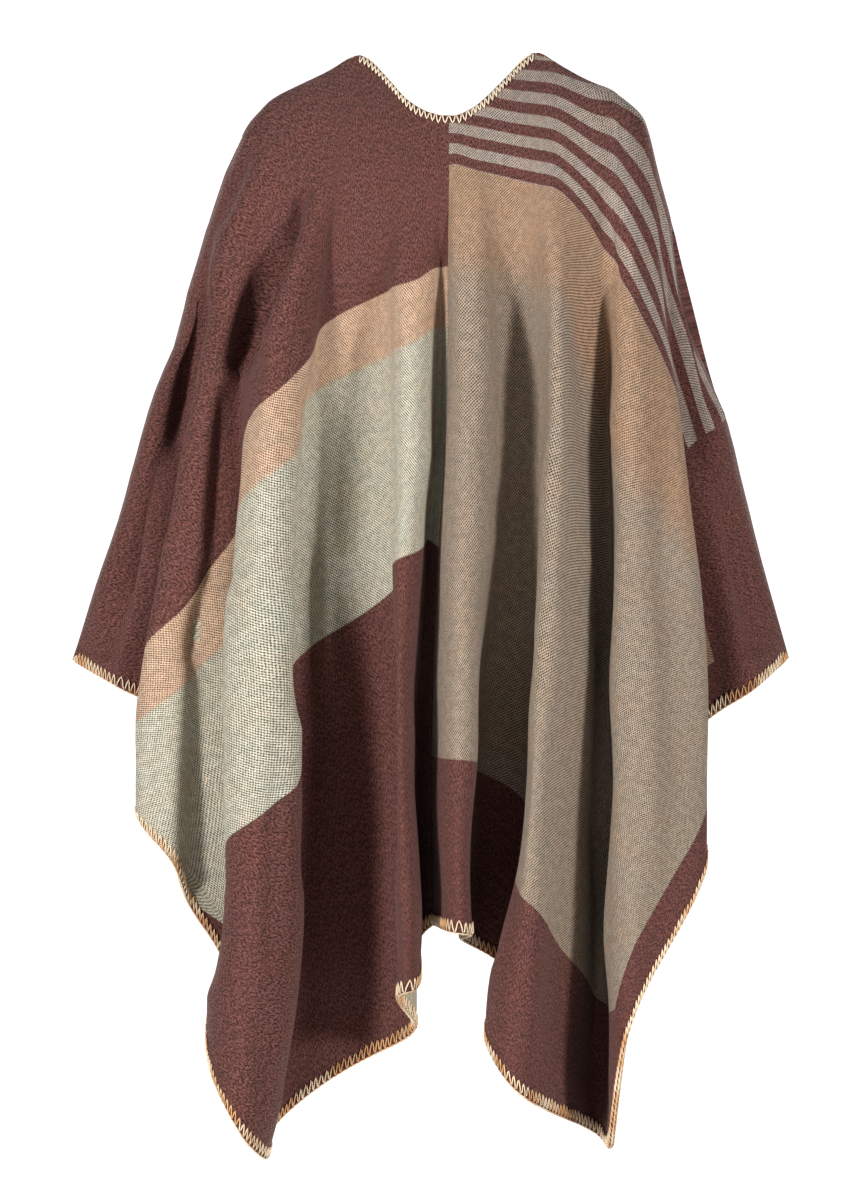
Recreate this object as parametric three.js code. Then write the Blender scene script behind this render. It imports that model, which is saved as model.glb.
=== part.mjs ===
// An open-front poncho of thick woven wool, worn, with no wearer: two long halves joined down the
// centre back, each going over its shoulder and arm in one piece and hanging in deep folds.
// Millimetres, +Z up. The origin is the middle of the neck, level with the neck points.
// The back faces -Y. The open front faces +Y.
import * as THREE from 'three';

// Cloth
const wall = 2.6;
const seamGap = 0.3;

// The hollow that the worn cloth keeps, as on a general figure
const figure = {
  backDeep: 138, // half depth behind the arms' line, well below the neck
  frontDeep: 132,
  fall: 100, // height over which the half depth grows from the neck
  roundness: 2.4, // power of the oval that the cross-sections follow
  armForward: 20, // how far the wrist lies before the neck
  hemSpread: 1.04, // width of the oval below the wrists, over its width there
};

// Folds grow from nothing below the shoulders to their own depth, and then open wider to the hem
const folds = {
  startsAt: -70,
  fullAt: -290,
  hemOpening: 1.4, // what the depth gains by the hem, as a share of itself
  fadeIn: 170, // the same for a fold that starts on the arm
  rounding: 2, // times that the columns are evened out across
  frontDepth: 1, // depth of the front's folds over the back's
  frontInset: 9, // how far the front's folds lie inside the back's
  frontLift: 26, // how much higher the front's hem hangs
};

// Mesh fineness
const rows = 17;
const rowEase = 0.25; // closes the rows up near the shoulder
const columnStep = 17; // widest gap between columns
const mostSteps = 4;

// Heights at which a fold line's place is given, and the least gap from its top to the first of them
const levels = [-60, -150, -300, -450, -600, -750, -850, -940];
const levelGap = 12;

// A row for each fold line, from the centre seam outwards. top: its start on the neckline or on the
// shoulder and arm, as distance from the middle and height. across: its distance from the middle at
// each level. hem: the height where it ends. out: how far it stands out, or in if less than 0.
const columnNames = ['line', 'top', 'across', 'hem', 'out'];

const leftBack = table([
  ['seam', [0, -57], [0, 0, 1, 9, 14, 13, 13, 13], -739, -14],
  ['seam valley', [7, -57], [7, 7, 10, 21, 29, 29, 27, 27], -754, -25],
  ['first fold, inner side', [13, -55], [13, 14, 15, 25, 29, 23, 21, 21], -788, 2],
  ['first fold, crest', [21, -53], [21, 24, 31, 39, 40, 34, 34, 34], -793, 18],
  ['first fold, outer side', [33, -45], [33, 39, 57, 59, 56, 55, 55, 55], -797, 5],
  ['first return', [41, -37], [41, 47, 60, 44, 35, 28, 28, 28], -829, -16],
  ['broad hollow', [54, -21], [56, 65, 83, 87, 85, 83, 83, 83], -859, -25],
  ['neck point', [75, 0], [84, 96, 122, 142, 138, 141, 147, 152], -911, -24],
  ['broad fold, inner side', [100, -14], [98, 104, 122, 124, 113, 121, 134, 151], -937, 0],
  ['broad fold, crest', [125, -26], [122, 126, 150, 159, 158, 164, 173, 185], -901, 22],
  ['broad fold, outer side', [149, -38], [145, 143, 166, 190, 195, 202, 207, 207], -832, 4],
  ['second return', [160, -49], [157, 156, 175, 168, 173, 183, 188, 188], -780, -20],
  ['side fold, middle', [170, -61], [169, 173, 197, 212, 225, 233, 233, 233], -686, 3],
  ['side fold, edge', [177, -77], [177, 190, 221, 244, 262, 270, 270, 270], -641, -1],
  ['under the arm', [185, -94], [185, 196, 203, 176, 164, 164, 164, 164], -602, -38],
  ['sleeve, inner', [197, -124], [197, 202, 224, 240, 254, 254, 254, 254], -554, -30],
  ['sleeve, middle', [251, -298], [251, 251, 253, 274, 292, 292, 292, 292], -538, -8],
  ['wrist', [320, -518], [320, 320, 320, 320, 320, 320, 320, 320], -518, 0],
]);

const rightBack = table([
  ['seam', [0, -57], [0, 0, -1, -9, -14, -13, -13, -13], -739, -14],
  ['first fold, crest', [7, -57], [8, 9, 11, 8, 4, 3, 3, 3], -743, 18],
  ['first fold, outer side', [17, -52], [18, 22, 33, 36, 30, 28, 28, 28], -746, 4],
  ['first return', [26, -46], [27, 33, 46, 42, 20, 6, 6, 6], -752, -18],
  ['narrow hollow', [36, -36], [38, 47, 64, 60, 46, 32, 32, 32], -762, -29],
  ['hollow, outer side', [50, -21], [57, 66, 82, 86, 74, 60, 60, 60], -795, -22],
  ['neck point', [72, 2], [78, 80, 88, 77, 60, 36, 27, 27], -832, 2],
  ['broad fold, crest', [93, -9], [93, 95, 93, 88, 77, 67, 61, 60], -879, 20],
  ['deep crease', [118, -23], [120, 126, 134, 139, 137, 132, 127, 124], -915, -26],
  ['corner fold, inner side', [137, -30], [139, 141, 138, 134, 129, 124, 133, 136], -925, 4],
  ['corner fold, crest', [145, -36], [146, 152, 156, 158, 154, 149, 147, 147], -830, 17],
  ['corner fold, middle', [153, -42], [154, 161, 175, 184, 184, 174, 174, 174], -771, 13],
  ['corner fold, edge', [165, -53], [166, 174, 194, 216, 224, 217, 217, 217], -675, 6],
  ['under the arm', [171, -68], [171, 178, 186, 160, 148, 148, 148, 148], -640, -40],
  ['sleeve, inner', [178, -94], [178, 184, 203, 213, 222, 222, 222, 222], -567, -30],
  ['sleeve, middle', [215, -239], [215, 215, 227, 248, 256, 256, 256, 256], -545, -8],
  ['wrist', [290, -516], [290, 290, 290, 290, 290, 290, 290, 290], -516, 0],
]);

// The fold lines between each front edge and its neck point
const leftEdge = table([
  ['front edge', [40, -104], [40, 41, 40, 40, 42, 42, 42, 42], -706, 4],
  ['edge fold', [51, -66], [51, 58, 64, 68, 70, 70, 70, 70], -716, 17],
  ['chest hollow', [64, -26], [68, 80, 90, 98, 98, 98, 98, 98], -742, -14],
]);

const rightEdge = table([
  ['front edge', [40, -104], [40, 36, 32, 30, 31, 32, 32, 32], -702, 2],
  ['edge fold', [51, -66], [51, 52, 50, 48, 49, 50, 50, 50], -711, 15],
  ['chest hollow', [62, -24], [64, 67, 68, 66, 67, 68, 68, 68], -738, -16],
]);

function table(list) {
  return list.map((row) => Object.fromEntries(columnNames.map((name, i) => [name, row[i]])));
}

function smooth(value, from, to) {
  const part = Math.min(Math.max((value - from) / (to - from), 0), 1);
  return part * part * (3 - 2 * part);
}

// A smooth curve through given values at rising places, with slopes from the neighbours
function curveThrough(places, values) {
  const slope = places.map((_, i) => {
    const before = Math.max(i - 1, 0);
    const after = Math.min(i + 1, places.length - 1);
    return (values[after] - values[before]) / (places[after] - places[before]);
  });
  return (at) => {
    const last = places.length - 2;
    let i = 0;
    while (i < last && at > places[i + 1]) i += 1;
    const span = places[i + 1] - places[i];
    const part = Math.min(Math.max((at - places[i]) / span, 0), 1);
    const part2 = part * part;
    const part3 = part2 * part;
    return values[i] * (2 * part3 - 3 * part2 + 1)
      + slope[i] * span * (part3 - 2 * part2 + part)
      + values[i + 1] * (3 * part2 - 2 * part3)
      + slope[i + 1] * span * (part3 - part2);
  };
}

// Half width of the worn hollow at a height, from where the fold lines start on shoulder and arm
function hollowWidth(lines) {
  const over = lines.slice(lines.findIndex((line) => line.line === 'neck point'));
  const wrist = over[over.length - 1].top;
  return (z) => {
    if (z <= wrist[1]) {
      return wrist[0] * (1 + (figure.hemSpread - 1) * smooth(-z, -wrist[1], -levels[levels.length - 1]));
    }
    let i = 0;
    while (i < over.length - 2 && z < over[i + 1].top[1]) i += 1;
    const [x0, z0] = over[i].top;
    const [x1, z1] = over[i + 1].top;
    return x0 + (x1 - x0) * Math.min((z0 - z) / (z0 - z1), 1);
  };
}

// A fold line of the back as it lies in front: it hangs a little shorter and further in, and it
// only swings outwards on its way down
function inFront(line) {
  const across = line.across.map((_, i) => Math.max(...line.across.slice(0, i + 1)));
  const hem = Math.min(line.hem + folds.frontLift, line.top[1]);
  return { ...line, across, hem, inset: folds.frontInset };
}

// The points down one fold line. turn is 1 on the back and -1 on the front.
function foldLine(line, width, turn) {
  const front = turn < 0;
  const [topX, topZ] = line.top;
  const below = levels.map((z, i) => [z, line.across[i]]).filter(([z]) => z < topZ - levelGap);
  const across = curveThrough(
    [0, ...below.map(([z]) => topZ - z)],
    [topX, ...below.map(([, x]) => x)],
  );
  const deep = front ? figure.frontDeep : figure.backDeep;
  const points = [];
  for (let row = 0; row <= rows; row += 1) {
    const part = row / rows;
    const eased = (part * part) / (part + rowEase * (1 - part));
    const z = topZ + (line.hem - topZ) * eased;
    const grown = smooth(-z, -folds.startsAt, -folds.fullAt) * smooth(topZ - z, 0, folds.fadeIn);
    const opened = 1 + folds.hemOpening * smooth(-z, -levels[1], -levels[6]);
    const x = across(topZ - z) - (line.inset ?? 0) * grown;
    const share = Math.min(Math.abs(x) / width(z), 1);
    const oval = (1 - share ** figure.roundness) ** (1 / figure.roundness);
    const body = deep * (1 - Math.exp(z / figure.fall)) * oval;
    const fold = line.out * grown * opened * (front ? folds.frontDepth : 1);
    const middle = figure.armForward * smooth(-z, 0, -levels[3]);
    points.push(new THREE.Vector3(x, middle - turn * (body + fold), z));
  }
  return points;
}

// Columns between the fold lines: each row is a smooth curve through the lines' points.
// steps holds the number of columns from each line to the next.
function fillBetween(lines, steps) {
  const columns = [];
  for (let i = 0; i < lines.length - 1; i += 1) {
    const around = [-1, 0, 1, 2].map((k) => lines[Math.min(Math.max(i + k, 0), lines.length - 1)]);
    for (let k = 0; k < steps[i]; k += 1) {
      columns.push(around[1].map((point, row) => between(around.map((line) => line[row]), k / steps[i])));
    }
  }
  columns.push(lines[lines.length - 1]);
  let rounded = columns;
  for (let time = 0; time < folds.rounding; time += 1) rounded = evenedOut(rounded);
  return rounded;
}

// Each column moved half of the way to the middle of its two neighbours
function evenedOut(columns) {
  return columns.map((column, i) => {
    if (i === 0 || i === columns.length - 1) return column;
    return column.map((point, row) => {
      const middle = columns[i - 1][row].clone().lerp(columns[i + 1][row], 0.5);
      return point.clone().lerp(middle, 0.5);
    });
  });
}

// A point on the curve through four points, between the second and the third
function between([p0, p1, p2, p3], part) {
  const part2 = part * part;
  const part3 = part2 * part;
  return new THREE.Vector3()
    .addScaledVector(p0, (-part3 + 2 * part2 - part) / 2)
    .addScaledVector(p1, (3 * part3 - 5 * part2 + 2) / 2)
    .addScaledVector(p2, (-3 * part3 + 4 * part2 + part) / 2)
    .addScaledVector(p3, (part3 - part2) / 2);
}

function stepsBetween(lines) {
  return lines.slice(1).map((line, i) => {
    const widest = Math.max(...line.map((point, row) => point.distanceTo(lines[i][row])));
    return Math.min(Math.max(Math.round(widest / columnStep), 2), mostSteps);
  });
}

// The middle surface of one half: points, triangles with the outside on the right turn, and the
// points along the centre seam
function middleSurface(back, edge) {
  const width = hollowWidth(back);
  const neck = back.findIndex((line) => line.line === 'neck point');
  const backLines = back.map((line) => foldLine(line, width, 1));
  const front = [...edge, ...back.slice(neck).map(inFront)];
  const frontLines = front.map((line) => foldLine(line, width, -1));
  const backSteps = stepsBetween(backLines);
  const frontSteps = [...stepsBetween(frontLines.slice(0, edge.length + 1)), ...backSteps.slice(neck)];
  const backColumns = fillBetween(backLines, backSteps);
  const frontColumns = fillBetween(frontLines, frontSteps);
  const shared = backSteps.slice(neck).reduce((sum, count) => sum + count, 0);

  const points = [];
  const add = (point) => points.push(point) - 1;
  const wrist = add(backLines[backLines.length - 1][0]);
  const backGrid = backColumns.slice(0, -1).map((column) => column.map(add));
  const frontGrid = frontColumns.slice(0, -1).map((column, i) => {
    const over = i - (frontColumns.length - 1 - shared);
    const ridge = over >= 0 ? backGrid[backGrid.length - shared + over][0] : add(column[0]);
    return [ridge, ...column.slice(1).map(add)];
  });

  const triangles = [];
  const cover = (grid, turned) => {
    const face = (a, b, c) => triangles.push(turned ? [a, c, b] : [a, b, c]);
    for (let i = 0; i < grid.length - 1; i += 1) {
      for (let row = 0; row < rows; row += 1) {
        face(grid[i][row], grid[i][row + 1], grid[i + 1][row + 1]);
        face(grid[i][row], grid[i + 1][row + 1], grid[i + 1][row]);
      }
    }
    const last = grid[grid.length - 1];
    for (let row = 0; row < rows; row += 1) face(last[row], last[row + 1], wrist);
  };
  cover(backGrid, false);
  cover(frontGrid, true);
  return { points, triangles, seam: backGrid[0] };
}

function pointNormals({ points, triangles }) {
  const normals = points.map(() => new THREE.Vector3());
  const corner = new THREE.Triangle();
  const facing = new THREE.Vector3();
  triangles.forEach((face) => {
    corner.set(...face.map((i) => points[i]));
    corner.getNormal(facing).multiplyScalar(corner.getArea());
    face.forEach((i) => normals[i].add(facing));
  });
  return normals.map((normal) => normal.normalize());
}

// A closed wall on both sides of a middle surface, with a rim along its open edges
function closedWall({ points, triangles }, normals, mirrored) {
  const count = points.length;
  const place = [1, -1].flatMap((side) => points.flatMap((point, i) => {
    const moved = point.clone().addScaledVector(normals[i], (side * wall) / 2);
    return [mirrored ? -moved.x : moved.x, moved.y, moved.z];
  }));
  const faces = [];
  const edges = new Set();
  triangles.forEach(([a, b, c]) => {
    faces.push([a, b, c], [c + count, b + count, a + count]);
    [[a, b], [b, c], [c, a]].forEach(([from, to]) => edges.add(`${from},${to}`));
  });
  edges.forEach((edge) => {
    const [from, to] = edge.split(',').map(Number);
    if (edges.has(`${to},${from}`)) return;
    faces.push([to, from, from + count], [to, from + count, to + count]);
  });
  const geometry = new THREE.BufferGeometry();
  geometry.setAttribute('position', new THREE.Float32BufferAttribute(place, 3));
  geometry.setIndex(faces.flatMap((face) => (mirrored ? [face[0], face[2], face[1]] : face)));
  geometry.computeVertexNormals();
  return geometry;
}

// Both halves keep the same normals along the centre seam, and stand half the gap from it
function joinAtSeam(left, right, leftNormals, rightNormals) {
  const mirror = new THREE.Vector3(-1, 1, 1);
  left.seam.forEach((at, row) => {
    const other = right.seam[row];
    const common = leftNormals[at].clone().multiply(mirror).add(rightNormals[other]).normalize();
    rightNormals[other].copy(common);
    leftNormals[at].copy(common).multiply(mirror);
  });
  [[left, leftNormals], [right, rightNormals]].forEach(([half, normals]) => {
    const down = new THREE.Vector3();
    const aside = new THREE.Vector3();
    half.seam.map((at, row) => {
      const next = half.points[half.seam[Math.min(row + 1, rows)]];
      const before = half.points[half.seam[Math.max(row - 1, 0)]];
      down.subVectors(next, before);
      return aside.crossVectors(normals[at], down).normalize().multiplyScalar(seamGap / 2).clone();
    }).forEach((shift, row) => {
      const point = half.points[half.seam[row]];
      point.addScaledVector(shift, shift.x < 0 ? -1 : 1);
    });
  });
}

const leftSurface = middleSurface(leftBack, leftEdge);
const rightSurface = middleSurface(rightBack, rightEdge);
const leftNormals = pointNormals(leftSurface);
const rightNormals = pointNormals(rightSurface);
joinAtSeam(leftSurface, rightSurface, leftNormals, rightNormals);

const maroonWool = new THREE.MeshStandardMaterial({ color: 0x4a2c2f, roughness: 0.95, metalness: 0 });
const greyWool = new THREE.MeshStandardMaterial({ color: 0x85776a, roughness: 0.95, metalness: 0 });

const leftHalf = new THREE.Mesh(closedWall(leftSurface, leftNormals, true), maroonWool);
leftHalf.name = 'left_half';

const rightHalf = new THREE.Mesh(closedWall(rightSurface, rightNormals, false), greyWool);
rightHalf.name = 'right_half';

const group = new THREE.Group();
group.add(leftHalf, rightHalf);

export default group;
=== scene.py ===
import math

import bpy
import numpy as np
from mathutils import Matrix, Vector


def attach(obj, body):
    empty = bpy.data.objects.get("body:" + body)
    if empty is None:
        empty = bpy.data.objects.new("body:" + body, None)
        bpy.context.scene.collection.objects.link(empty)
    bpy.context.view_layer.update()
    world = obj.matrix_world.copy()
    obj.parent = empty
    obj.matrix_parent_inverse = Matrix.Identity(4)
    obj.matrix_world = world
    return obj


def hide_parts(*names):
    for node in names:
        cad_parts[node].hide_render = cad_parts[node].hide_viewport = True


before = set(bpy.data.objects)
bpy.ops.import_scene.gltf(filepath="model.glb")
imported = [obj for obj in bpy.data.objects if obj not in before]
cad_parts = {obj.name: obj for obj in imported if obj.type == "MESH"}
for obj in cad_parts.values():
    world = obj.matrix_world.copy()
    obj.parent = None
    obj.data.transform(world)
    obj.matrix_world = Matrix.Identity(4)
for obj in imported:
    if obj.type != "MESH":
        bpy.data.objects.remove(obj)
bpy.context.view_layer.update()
mm = 0.001

# The worn form, in millimetres. x is counted outwards from the centre back on each half.
wall = 2.6
seamGap = 0.04  # the two halves are sewn together
figure = {
    "backDeep": 138, "frontDeep": 132,  # half depth of the hollow behind and before the arms' line
    "fall": 100,  # height over which the half depth grows from the neck
    "roundness": 2.4,
    "armForward": 20,
    "hemSpread": 1.04,
}
folds = {
    "startsAt": -70, "fullAt": -290,  # heights between which the folds grow to their depth
    "hemOpening": 1.4,
    "fadeIn": 170,
    "rounding": 2,
    "frontDepth": 1, "frontInset": 9, "frontLift": 26,
}
grid = {
    "rows": 17, "rowEase": 0.25, "columnStep": 17, "mostSteps": 4,  # as fine as the solids
    "fineRows": 144, "finer": 3,  # rows here, and columns for each of the solids'
}
levels = [-60, -150, -300, -450, -600, -750, -850, -940]
levelGap = 12

# A fold line for each row, from the centre seam outwards: where it starts, its distance from the
# middle at each level, the height where it ends, and how far it stands out
lineColumns = ["line", "top", "across", "hem", "out"]
leftBack = [
    ["seam", [0, -57], [0, 0, 1, 9, 14, 13, 13, 13], -739, -14],
    ["seam valley", [7, -57], [7, 7, 10, 21, 29, 29, 27, 27], -754, -25],
    ["first fold, inner side", [13, -55], [13, 14, 15, 25, 29, 23, 21, 21], -788, 2],
    ["first fold, crest", [21, -53], [21, 24, 31, 39, 40, 34, 34, 34], -793, 18],
    ["first fold, outer side", [33, -45], [33, 39, 57, 59, 56, 55, 55, 55], -797, 5],
    ["first return", [41, -37], [41, 47, 60, 44, 35, 28, 28, 28], -829, -16],
    ["broad hollow", [54, -21], [56, 65, 83, 87, 85, 83, 83, 83], -859, -25],
    ["neck point", [75, 0], [84, 96, 122, 142, 138, 141, 147, 152], -911, -24],
    ["broad fold, inner side", [100, -14], [98, 104, 122, 124, 113, 121, 134, 151], -937, 0],
    ["broad fold, crest", [125, -26], [122, 126, 150, 159, 158, 164, 173, 185], -901, 22],
    ["broad fold, outer side", [149, -38], [145, 143, 166, 190, 195, 202, 207, 207], -832, 4],
    ["second return", [160, -49], [157, 156, 175, 168, 173, 183, 188, 188], -780, -20],
    ["side fold, middle", [170, -61], [169, 173, 197, 212, 225, 233, 233, 233], -686, 3],
    ["side fold, edge", [177, -77], [177, 190, 221, 244, 262, 270, 270, 270], -641, -1],
    ["under the arm", [185, -94], [185, 196, 203, 176, 164, 164, 164, 164], -602, -38],
    ["sleeve, inner", [197, -124], [197, 202, 224, 240, 254, 254, 254, 254], -554, -30],
    ["sleeve, middle", [251, -298], [251, 251, 253, 274, 292, 292, 292, 292], -538, -8],
    ["wrist", [320, -518], [320, 320, 320, 320, 320, 320, 320, 320], -518, 0],
]
rightBack = [
    ["seam", [0, -57], [0, 0, -1, -9, -14, -13, -13, -13], -739, -14],
    ["first fold, crest", [7, -57], [8, 9, 11, 8, 4, 3, 3, 3], -743, 18],
    ["first fold, outer side", [17, -52], [18, 22, 33, 36, 30, 28, 28, 28], -746, 4],
    ["first return", [26, -46], [27, 33, 46, 42, 20, 6, 6, 6], -752, -18],
    ["narrow hollow", [36, -36], [38, 47, 64, 60, 46, 32, 32, 32], -762, -29],
    ["hollow, outer side", [50, -21], [57, 66, 82, 86, 74, 60, 60, 60], -795, -22],
    ["neck point", [72, 2], [78, 80, 88, 77, 60, 36, 27, 27], -832, 2],
    ["broad fold, crest", [93, -9], [93, 95, 93, 88, 77, 67, 61, 60], -879, 20],
    ["deep crease", [118, -23], [120, 126, 134, 139, 137, 132, 127, 124], -915, -26],
    ["corner fold, inner side", [137, -30], [139, 141, 138, 134, 129, 124, 133, 136], -925, 4],
    ["corner fold, crest", [145, -36], [146, 152, 156, 158, 154, 149, 147, 147], -830, 17],
    ["corner fold, middle", [153, -42], [154, 161, 175, 184, 184, 174, 174, 174], -771, 13],
    ["corner fold, edge", [165, -53], [166, 174, 194, 216, 224, 217, 217, 217], -675, 6],
    ["under the arm", [171, -68], [171, 178, 186, 160, 148, 148, 148, 148], -640, -40],
    ["sleeve, inner", [178, -94], [178, 184, 203, 213, 222, 222, 222, 222], -567, -30],
    ["sleeve, middle", [215, -239], [215, 215, 227, 248, 256, 256, 256, 256], -545, -8],
    ["wrist", [290, -516], [290, 290, 290, 290, 290, 290, 290, 290], -516, 0],
]
leftEdge = [
    ["front edge", [40, -104], [40, 41, 40, 40, 42, 42, 42, 42], -706, 4],
    ["edge fold", [51, -66], [51, 58, 64, 68, 70, 70, 70, 70], -716, 17],
    ["chest hollow", [64, -26], [68, 80, 90, 98, 98, 98, 98, 98], -742, -14],
]
rightEdge = [
    ["front edge", [40, -104], [40, 36, 32, 30, 31, 32, 32, 32], -702, 2],
    ["edge fold", [51, -66], [51, 52, 50, 48, 49, 50, 50, 50], -711, 15],
    ["chest hollow", [62, -24], [64, 67, 68, 66, 67, 68, 68, 68], -738, -16],
]

# The flat cut of a half: u outwards from the centre back, v down the back from the shoulder and,
# below zero, down the front. The neck is cut away in a V.
cut = {
    "wide": 665, "backLong": 780, "frontLong": 750,
    "neckWide": 75, "neckHigh": 57,
    "neckSlope": 1.4,  # length of cloth for each millimetre of height on the neckline
    "frontNeckU": [0, 26, 55], "frontNeckV": [-110, -72, -28],
}

# Heights where each fold line of the back crosses the colour joins, and the v that lies on the ridge
joinColumns = ["line", "ridge", "first", "second", "third"]
leftJoins = {
    "at": [224, 275, 463],
    "rows": [
        ["seam", 0, -186, -236, -422],
        ["seam valley", 0, -187, -238, -414],
        ["first fold, inner side", 0, -188, -240, -424],
        ["first fold, crest", 0, -199, -252, -431],
        ["first fold, outer side", 0, -203, -256, -438],
        ["first return", 0, -207, -260, -452],
        ["broad hollow", 0, -216, -273, -487],
        ["neck point", 0, -238, -296, -530],
        ["broad fold, inner side", 0, -264, -338, -608],
        ["broad fold, crest", 0, -296, -365, -647],
        ["broad fold, outer side", 0, -318, -396, -686],
        ["second return", 0, -386, -470, -745],
        ["side fold, middle", 0, -458, -535, None],
        ["side fold, edge", 0, -522, -583, None],
        ["under the arm", 0, None, None, None],
        ["sleeve, inner", 0, None, None, None],
        ["sleeve, middle", 0, None, None, None],
        ["wrist", 0, None, None, None],
    ],
}
rightJoins = {
    "at": [133, 224, 637],
    "rows": [
        ["seam", 0, -101, -186, -598],
        ["first fold, crest", 0, -101, -187, -599],
        ["first fold, outer side", 0, -106, -189, -602],
        ["first return", 0, -108, -190, -608],
        ["narrow hollow", 0, -110, -191, -618],
        ["hollow, outer side", 0, -115, -195, -650],
        ["neck point", 2, -119, -201, -697],
        ["broad fold, crest", 12, -124, -208, -720],
        ["deep crease", 18, -166, -330, -806],
        ["corner fold, inner side", 24, -188, -346, -812],
        ["corner fold, crest", 26, -212, -374, None],
        ["corner fold, middle", 28, -241, -395, None],
        ["corner fold, edge", 30, -298, -441, None],
        ["under the arm", 31, -360, -520, None],
        ["sleeve, inner", 33, None, None, None],
        ["sleeve, middle", 38, None, None, None],
        ["wrist", 20, None, None, None],
    ],
}

# Soft creases between the fold lines: both ends as distance from the middle and height, half width,
# and depth into the cloth (a ridge if less than 0). The front's are on the hidden side.
creaseColumns = ["side", "start", "end", "width", "depth"]
leftCreases = [
    ["back", [124, -118], [176, -268], 11, 26],
    ["back", [108, -118], [150, -262], 11, -8],
    ["back", [166, -78], [192, -150], 11, 6],
    ["back", [150, -72], [201, -215], 13, -7],
    ["back", [211, -215], [233, -340], 11, 11],
    ["back", [205, -215], [220, -340], 10, -5],
    ["back", [236, -262], [262, -400], 13, -5],
    ["back", [263, -415], [293, -512], 11, 12],
    ["back", [246, -340], [273, -455], 10, 11],
    ["back", [276, -400], [304, -505], 9, -5],
    ["back", [110, -290], [122, -560], 10, 13],
    ["back", [188, -290], [199, -450], 12, 14],
    ["back", [199, -440], [222, -520], 12, 12],
    ["back", [208, -480], [208, -780], 17, 20],
    ["back", [246, -420], [262, -640], 15, -9],
    ["back", [64, -205], [82, -420], 24, 16],
    ["back", [20, -120], [22, -330], 12, 4],
    ["back", [104, -400], [96, -560], 15, -5],
    ["back", [112, -440], [118, -700], 9, 5],
    ["back", [66, -330], [72, -880], 26, 16],
    ["back", [140, -560], [150, -820], 12, 5],
    ["back", [182, -460], [186, -690], 11, -4],
    ["back", [172, -760], [150, -880], 12, 4],
    ["front", [70, -90], [92, -260], 16, 4],
    ["front", [128, -110], [150, -300], 15, 5],
    ["front", [60, -330], [56, -600], 12, -3],
    ["front", [150, -360], [168, -700], 15, 3.5],
    ["front", [208, -180], [236, -360], 13, 4],
    ["front", [250, -380], [285, -500], 12, 3],
]
rightCreases = [
    ["back", [22, -110], [26, -330], 12, -5],
    ["back", [50, -170], [46, -400], 14, 6],
    ["back", [70, -130], [90, -300], 17, -5],
    ["back", [88, -260], [84, -560], 12, -5],
    ["back", [112, -200], [120, -420], 11, 7],
    ["back", [132, -120], [142, -205], 9, 8],
    ["back", [44, -380], [32, -760], 13, 11],
    ["back", [62, -500], [50, -780], 11, 8],
    ["back", [131, -330], [127, -900], 8, 8],
    ["back", [150, -280], [146, -620], 10, -3],
    ["back", [180, -300], [184, -520], 13, 4],
    ["back", [165, -470], [170, -700], 12, -4],
    ["back", [196, -150], [222, -300], 10, 9],
    ["back", [214, -250], [240, -420], 12, -4],
    ["back", [226, -350], [262, -506], 12, 12],
    ["back", [96, -690], [88, -850], 13, 5],
    ["back", [60, -740], [72, -850], 11, -4],
    ["front", [62, -100], [74, -300], 14, 4],
    ["front", [110, -120], [122, -330], 15, 4.5],
    ["front", [92, -340], [98, -640], 13, -3],
    ["front", [150, -320], [160, -700], 15, 3.5],
    ["front", [190, -170], [214, -340], 12, 4],
]
creaseFade = {"reach": 0.9, "margin": 0.05, "power": 0.6}  # how far a crease keeps its depth
unevenness = {
    "high": 2.0, "lengths": [210, 130, 83], "strengths": [1, 0.6, 0.35],
    "turn": 0.7, "heightShare": 0.45, "depthShare": 0.6, "acrossShare": 0.3, "downShare": 0.6,
    "startsAt": 30, "fullAt": 110, "seamFade": 12,  # no waves at the shoulder and the seam
}

# Overcast edging: a thread that zigzags over each face, and a cord of loops along the very edge
edging = {
    "pitch": 5.6, "deep": 9.5, "thread": 0.62,
    "pointsPerPitch": 6, "sides": 5,
    "lift": 0.25,  # clearance of the thread's middle over the cloth, past its radius
    "reachRows": 26,  # rows or columns of the cloth that a stitch may follow inwards
    "turnOver": 2.2, "leastHigh": 0.5,  # depth over which the thread climbs on the cloth
    "cordThick": 0.8, "cordPointsPerPitch": 3, "cordOut": 0.5, "outwardRows": 6,
    "uneven": 0.14, "shiftShare": 0.6, "reachShare": 0.6,
    "otherFace": 0.25,  # part of a pitch by which the inner face's zigzag lags behind
    "point": 0.12, "swell": 0.22,  # how sharp its points are, and how much the cord swells
}


def asRows(names, rows):
    # one dictionary for each row, under the named columns
    return [dict(zip(names, row)) for row in rows]


def smooth(value, start, end):
    # 3 p^2 - 2 p^3 of the part p that the value has gone from start to end
    part = np.clip((value - start) / (end - start), 0, 1)
    return part * part * (3 - 2 * part)


def curveThrough(places, values, at):
    # cubic Hermite curve whose slope at a place is that of the chord between its neighbours
    places = np.array(places, float)
    values = np.array(values, float)
    order = np.arange(len(places))
    before = np.maximum(order - 1, 0)
    after = np.minimum(order + 1, len(places) - 1)
    slope = (values[after] - values[before]) / (places[after] - places[before])
    i = np.searchsorted(places[1:-1], at, side="left")
    span = places[i + 1] - places[i]
    part = np.clip((at - places[i]) / span, 0, 1)
    return (
        values[i] * (2 * part**3 - 3 * part**2 + 1)
        + slope[i] * span * (part**3 - 2 * part**2 + part)
        + values[i + 1] * (3 * part**2 - 2 * part**3)
        + slope[i + 1] * span * (part**3 - part**2)
    )


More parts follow.
